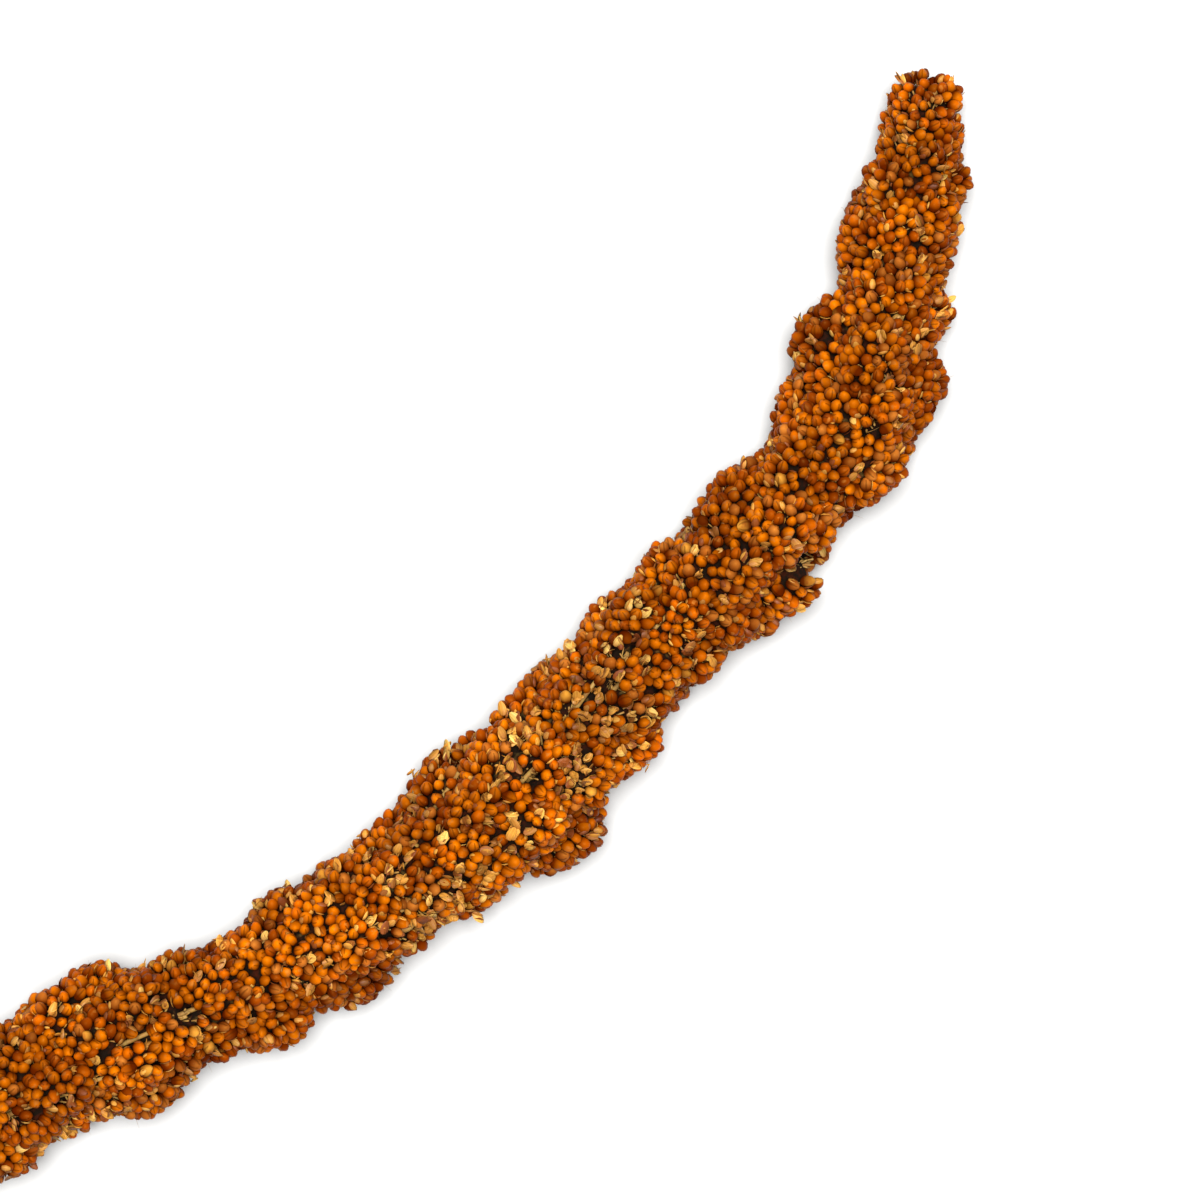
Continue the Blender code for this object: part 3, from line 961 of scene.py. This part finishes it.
def rod_sizes(radius, lengths):
    """The size of every rod: its half thickness both ways, and its length."""
    radius = np.broadcast_to(radius, lengths.shape)
    return np.column_stack([radius, radius, lengths])


class MILLET_OT_camera(Operator):
    """Aim the camera straight down at the head, as in the photograph"""
    bl_idname = "millet.camera"
    bl_label = "Camera"

    def execute(self, context):
        stage = context.scene.millet_stage
        data = bpy.data.cameras.new("camera")
        data.lens = data.sensor_width * stage.view_distance / stage.view_width
        data.clip_start = 0.01
        data.clip_end = 100.0
        camera = shown("camera", data)
        camera.location = Vector(stage.view_middle) + Vector((0.0, 0.0, stage.view_distance))
        camera.rotation_euler = (0.0, 0.0, stage.view_turn)
        context.scene.camera = camera
        return {"FINISHED"}


class MILLET_OT_stage(Operator):
    """Add the pale floor and the soft light from above"""
    bl_idname = "millet.stage"
    bl_label = "Floor and light"

    def execute(self, context):
        stage = context.scene.millet_stage
        mesh = bmesh.new()
        bmesh.ops.create_grid(mesh, x_segments=1, y_segments=1, size=stage.floor_size / 2.0)
        data = as_mesh(mesh, "floor")
        data.materials.append(shared_material(context, "pale floor", floor_material))
        floor = shown("floor", data)

        turn = Matrix.Rotation(stage.view_turn, 3, "Z")
        key = bpy.data.lights.new("key", "SUN")
        key.energy = stage.key_strength
        key.angle = stage.key_softness
        light = shown("key", key)
        light.rotation_euler = (turn @ Vector((0.0, 0.07, 1.0))).to_track_quat("Z", "Y").to_euler()

        world = bpy.data.worlds.new("studio")
        world.use_nodes = True
        sky = world.node_tree.nodes["Background"]
        sky.inputs["Color"].default_value = (1.0, 1.0, 1.0, 1.0)
        sky.inputs["Strength"].default_value = stage.fill
        context.scene.world = world
        context.scene.view_settings.view_transform = "Standard"
        return {"FINISHED"}


class MILLET_OT_grains(Operator):
    """Cover the side branches with grains, in four pieces round the head"""
    bl_idname = "millet.grains"
    bl_label = "Grains"

    def execute(self, context):
        settings, plan, _ = set_out(context, 0)
        turns = directions(plan.axis, plan.spin)
        material = shared_material(context, "satin grain husk", grain_material)
        for name, start in SIDES:
            chosen = ~plan.empty & ((plan.angle - start) % 360.0 < 90.0)
            if not chosen.any():
                raise RuntimeError(f"{name} has no grains")
            sizes = np.repeat(plan.size[chosen, None], 3, axis=1)
            # shade carries the painted crease shade and each branch's wear
            add_copies(name, material, "grain", grain_template(settings), turns[chosen], sizes,
                       plan.point[chosen], {"tone": plan.tone[chosen], "shade": plan.shade[chosen]})
        return {"FINISHED"}


class MILLET_OT_husks(Operator):
    """Add empty husks in the gaps and small scales at the feet of grains"""
    bl_idname = "millet.husks"
    bl_label = "Husks"

    def execute(self, context):
        settings, plan, rng = set_out(context, 1)
        material = shared_material(context, "papery husk", papery_material)
        self.empty_husks(settings, plan, rng, material)
        self.glumes(settings, plan, rng, material)
        return {"FINISHED"}

    def empty_husks(self, settings, plan, rng, material):
        """Four husks lie about every grain that has dropped."""
        every = np.repeat(np.flatnonzero(plan.empty), 4)
        column = (len(every), 1)
        normal = plan.normal[every]
        lean = rng.uniform(0.15, 0.95, column)
        long = unit(eggs().axis[plan.own[every]] + 0.75 * rng.normal(size=normal.shape) + lean * normal)
        hollow_side = normal * np.where(rng.random(column) < 0.6, 1.0, -1.0)
        across = unit(np.cross(long, hollow_side + 0.45 * rng.normal(size=normal.shape)))
        turns = np.stack([across, np.cross(long, across), long], axis=-1)
        foot = plan.point[every] - long * settings.husk_length * 0.45
        foot += normal * rng.uniform(-0.0004, 0.0011, column)
        keep_above(foot, LOWEST_HUSK)
        sizes = (rng.uniform(0.58, 0.98, column) + 0.14 * plan.in_patch[every, None]) * np.ones(3)
        sizes[:, 0] *= rng.uniform(0.75, 1.1, len(every))
        width = settings.husk_length * 0.78
        template = scale_template(settings.husk_length, width, 0.00045, 0.00030, 6, "husk")
        # The husks take the painted crease shade and the branch wear of their grain
        add_copies("empty_husks", material, "grain", template, turns, sizes, foot,
                   {"tone": rng.uniform(0.12, 1.0, len(every)), "shade": plan.shade[every]})

    def glumes(self, settings, plan, rng, material):
        """One or two small scales stand at the foot of most grains."""
        chance = settings.glume_share * np.repeat(0.8 + 0.8 * plan.in_patch, 2)
        chosen = np.repeat(np.arange(len(plan.point)), 2)[rng.random(2 * len(plan.point)) < chance]
        chosen = chosen[~plan.empty[chosen]]
        count = len(chosen)
        facing = directions(plan.axis[chosen], rng.uniform(0.0, FULL_TURN, count))
        side, out = facing[:, :, 0], facing[:, :, 1]
        lean = rng.uniform(-0.12, 0.22, count)[:, None]
        long = unit(facing[:, :, 2] * np.cos(lean) + out * np.sin(lean))
        turns = np.stack([side, unit(np.cross(long, side)), long], axis=-1)
        foot = (plan.point[chosen] + out * settings.grain_width * 0.49
                - plan.axis[chosen] * settings.grain_length * 0.36)
        keep_above(foot, LOWEST_GLUME)
        sizes = rng.uniform(0.7, 1.1, (count, 1)) * np.ones(3)
        width = settings.glume_length * 0.74
        template = scale_template(settings.glume_length, width, 0.00024, 0.00026, 4, "glume")
        # The glumes take the painted crease shade and the branch wear of their grain
        add_copies("glumes", material, "grain", template, turns, sizes, foot,
                   {"tone": 0.06 + 0.84 * rng.random(count) ** 1.5, "shade": plan.shade[chosen]})


class MILLET_OT_bristles(Operator):
    """Add the thin bristles that stand among the grains"""
    bl_idname = "millet.bristles"
    bl_label = "Bristles"

    def execute(self, context):
        settings, plan, rng = set_out(context, 2)
        chosen = rng.choice(len(plan.point), settings.bristles, replace=False)
        count = len(chosen)
        normal = plan.normal[chosen]
        long = unit(normal + 0.8 * eggs().axis[plan.own[chosen]] + 0.35 * rng.normal(size=(count, 3)))
        turns = directions(long, rng.uniform(0.0, FULL_TURN, count))
        foot = plan.point[chosen] - normal * 0.0012 + turns[:, :, 0] * settings.grain_width * 0.5
        keep_above(foot, LOWEST_BRISTLE)
        sizes = rod_sizes(BRISTLE_RADIUS, settings.bristle_length * rng.uniform(0.55, 1.05, count))
        template = rod_template(3, 4, 10.0, 0.75, "bristle")
        add_copies("bristles", shared_material(context, "olive stem", stem_material), "grain", template,
                   turns, sizes, foot, {"tone": rng.random(count)})
        return {"FINISHED"}


class MILLET_OT_stems(Operator):
    """Add the stem of every side branch, and those that cross the open gaps"""
    bl_idname = "millet.stems"
    bl_label = "Branch stems"

    def execute(self, context):
        rng = np.random.default_rng(context.scene.millet_grains.seed + 3)
        group = eggs()
        end = group.centre + group.axis * group.half_length[:, None] * 0.7
        start = centreline().at(np.maximum(group.along - 0.006, STALK_LENGTH + 0.001))
        crossing = [self.crossing(back, math.radians(degrees)) for back, degrees, _ in OPEN_GAPS]
        start = np.concatenate([start, [first for first, _ in crossing]])
        end = np.concatenate([end, [last for _, last in crossing]])
        turns, lengths = rods_between(start, end, rng)
        template = rod_template(6, 5, 1.2, 0.4, "stem")
        mesh = copies(template, turns, rod_sizes(STEM_RADIUS, lengths), start, "branch_stems",
                      {"tone": rng.random(len(start))})
        material = shared_material(context, "olive stem", stem_material)
        add_piece(mesh, "branch_stems", material, "straw", "seed_head")
        return {"FINISHED"}

    def crossing(self, back, angle):
        """The two ends of a stem that crosses an open gap below the grains."""
        along = HEAD_END - back
        outward = np.array([0.0, math.cos(angle), math.sin(angle)]) * float(head_radius(along))
        first = [along - 0.010, 0.0, 0.0] + 0.35 * outward
        last = [along + 0.008, 0.0, 0.0] + 0.74 * outward
        return centreline().bend(np.array([first, last]))


class MILLET_OT_footstalks(Operator):
    """Add the short footstalks of grains, bare where grains have dropped"""
    bl_idname = "millet.footstalks"
    bl_label = "Footstalks"

    def execute(self, context):
        _, plan, rng = set_out(context, 4)
        some = np.flatnonzero(plan.empty | (rng.random(len(plan.point)) < 0.45))
        top = np.concatenate([plan.point[some] - plan.axis[some] * 0.0008, plan.bare_point])
        own = np.concatenate([plan.own[some], plan.bare_own])
        normal = eggs().normal(top, own)
        top[len(some):] -= normal[len(some):] * rng.uniform(0.0008, 0.0026, (len(plan.bare_own), 1))
        start = top - (normal + 0.5 * eggs().axis[own] + 0.3 * rng.normal(size=top.shape)) * 0.0022
        keep_above(start, LOWEST_FOOTSTALK)
        turns, lengths = rods_between(start, top, rng)
        sizes = rod_sizes(rng.uniform(*FOOTSTALK_RADIUS, len(start)), lengths)
        template = rod_template(4, 2, 1.5, 0.15, "footstalk")
        add_copies("footstalks", shared_material(context, "olive stem", stem_material), "straw", template,
                   turns, sizes, start, {"tone": rng.random(len(start))})
        return {"FINISHED"}


class MILLET_OT_inside(Operator):
    """Fill the head with the mass that the grains stand on, coloured near black as painted shade"""
    bl_idname = "millet.inside"
    bl_label = "Inside"

    def execute(self, context):
        group = eggs()
        mesh = bmesh.new()
        for number in range(len(group.centre)):
            turn = Vector(group.axis[number]).to_track_quat("X", "Z").to_matrix().to_4x4()
            half_length = group.half_length[number] - INSIDE_SHORTER
            half_width = group.half_width[number] - INSIDE_SLIMMER
            size = Matrix.Diagonal((half_length, half_width, half_width, 1.0))
            place = Matrix.Translation(group.centre[number])
            bmesh.ops.create_icosphere(mesh, subdivisions=2, radius=1.0, matrix=place @ turn @ size)
        for along in np.arange(STALK_LENGTH + 0.004, HEAD_END - 0.004, 0.003):
            radius = CORE_SHARE * float(head_radius(along)) * min(1.0, (along - STALK_LENGTH) / 0.010)
            place = Matrix.Translation(centreline().at(along))
            bmesh.ops.create_icosphere(mesh, subdivisions=2, radius=radius, matrix=place)
        rough = shown("rough inside", as_mesh(mesh, "rough inside"))
        remesh = rough.modifiers.new("one skin", "REMESH")
        remesh.mode = "VOXEL"
        remesh.voxel_size = SKIN_STEP
        filled = bpy.data.meshes.new_from_object(rough.evaluated_get(context.evaluated_depsgraph_get()))
        bpy.data.objects.remove(rough)
        filled.name = "inside"

        points = read_places(filled).astype(float)
        back, _ = centreline().straighten(points)
        inward = centreline().at(HEAD_END - back) - points
        for spots, sink in ((OPEN_GAPS, GAP_SINK), (NOTCH, NOTCH_SINK)):
            points += inward * (sink * np.minimum(2.5 * in_spots(points, spots), 1.0))[:, None]
        keep_above(points, LOWEST_INSIDE)
        write_places(filled, points)
        filled.shade_smooth()
        material = shared_material(context, "dark inside", inside_material)
        add_piece(filled, "inside", material, "grain", "seed_head")
        return {"FINISHED"}


class MILLET_OT_stalk(Operator):
    """Make the ribbed stalk with its cut end, and the rachis inside the head"""
    bl_idname = "millet.stalk"
    bl_label = "Stalk"

    def execute(self, context):
        mesh = bmesh.new()
        bmesh.ops.create_circle(mesh, cap_ends=True, segments=STALK_SIDES, radius=0.001)
        front = list(mesh.faces)
        ring = list(mesh.verts)
        parts = {}
        rng = random.Random(3)
        stations = [*np.arange(0.0, STALK_LENGTH + 0.02, OUTER_STEP),
                    *np.arange(STALK_LENGTH + 0.025, RACHIS_END, INNER_STEP), RACHIS_END]
        for station in stations:
            if station > 0.0:
                front, ring = grow(mesh, front)
            radius = float(np.interp(station, *np.array(STALK_RADIUS).T))
            radius *= 1.0 + sum(depth * math.sin(station * pace) for depth, pace in WAVES)
            for number, vert in enumerate(ring):
                rib = RIBS[number % len(RIBS)]
                turn = number * FULL_TURN / STALK_SIDES
                reach = radius * (1.0 - RIB_DEPTH + RIB_DEPTH * rib)
                place = station if station > 0.0 else rng.uniform(*CUT_RANGE)
                straight = np.array([place, reach * math.cos(turn), reach * math.sin(turn)])
                vert.co = centreline().bend(straight)
                parts[vert] = (station, rib, 0.0)
        self.cut(context, mesh, parts)
        return {"FINISHED"}

    def cut(self, context, mesh, parts):
        """Closes the cut end with a sunken pith, and shows the stalk."""
        end = close(mesh)
        bmesh.ops.inset_region(mesh, faces=end, thickness=0.00035, depth=0.0)
        bmesh.ops.inset_region(mesh, faces=end, thickness=0.00045, depth=-0.00025)
        bmesh.ops.poke(mesh, faces=end)
        values = [parts.get(vert, (0.0, 0.0, 1.0)) for vert in mesh.verts]
        material = shared_material(context, "ribbed straw", straw_material)
        add_piece(smooth_mesh(mesh, "cut_stalk", values), "cut_stalk", material, "straw", "stalk")


STEPS = [MILLET_OT_camera, MILLET_OT_grains, MILLET_OT_husks, MILLET_OT_bristles, MILLET_OT_stems,
         MILLET_OT_footstalks, MILLET_OT_inside, MILLET_OT_stalk, MILLET_OT_stage]


class MILLET_PT_panel(Panel):
    """Lists the steps in the order in which they run"""
    bl_idname = "MILLET_PT_panel"
    bl_label = "Millet Seed Head"
    bl_space_type = "VIEW_3D"
    bl_region_type = "UI"
    bl_category = "Millet"

    def draw(self, context):
        for step in STEPS:
            self.layout.operator(step.bl_idname)
        for group in (context.scene.millet_grains, context.scene.millet_colours, context.scene.millet_stage):
            box = self.layout.box()
            for name in group.__annotations__:
                box.prop(group, name)


SETTINGS = {"millet_grains": MilletGrainSettings, "millet_colours": MilletColourSettings,
            "millet_stage": MilletStageSettings}
CLASSES = [*SETTINGS.values(), *STEPS, MILLET_PT_panel]


def register():
    for item in CLASSES:
        bpy.utils.register_class(item)
    for name, group in SETTINGS.items():
        setattr(bpy.types.Scene, name, PointerProperty(type=group))


def unregister():
    for name in SETTINGS:
        delattr(bpy.types.Scene, name)
    for item in reversed(CLASSES):
        bpy.utils.unregister_class(item)


def main():
    register()
    bpy.ops.millet.camera()
    bpy.ops.millet.grains()
    bpy.ops.millet.husks()
    bpy.ops.millet.bristles()
    bpy.ops.millet.stems()
    bpy.ops.millet.footstalks()
    bpy.ops.millet.inside()
    bpy.ops.millet.stalk()
    bpy.ops.millet.stage()
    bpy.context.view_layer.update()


if __name__ == "__main__":
    main()
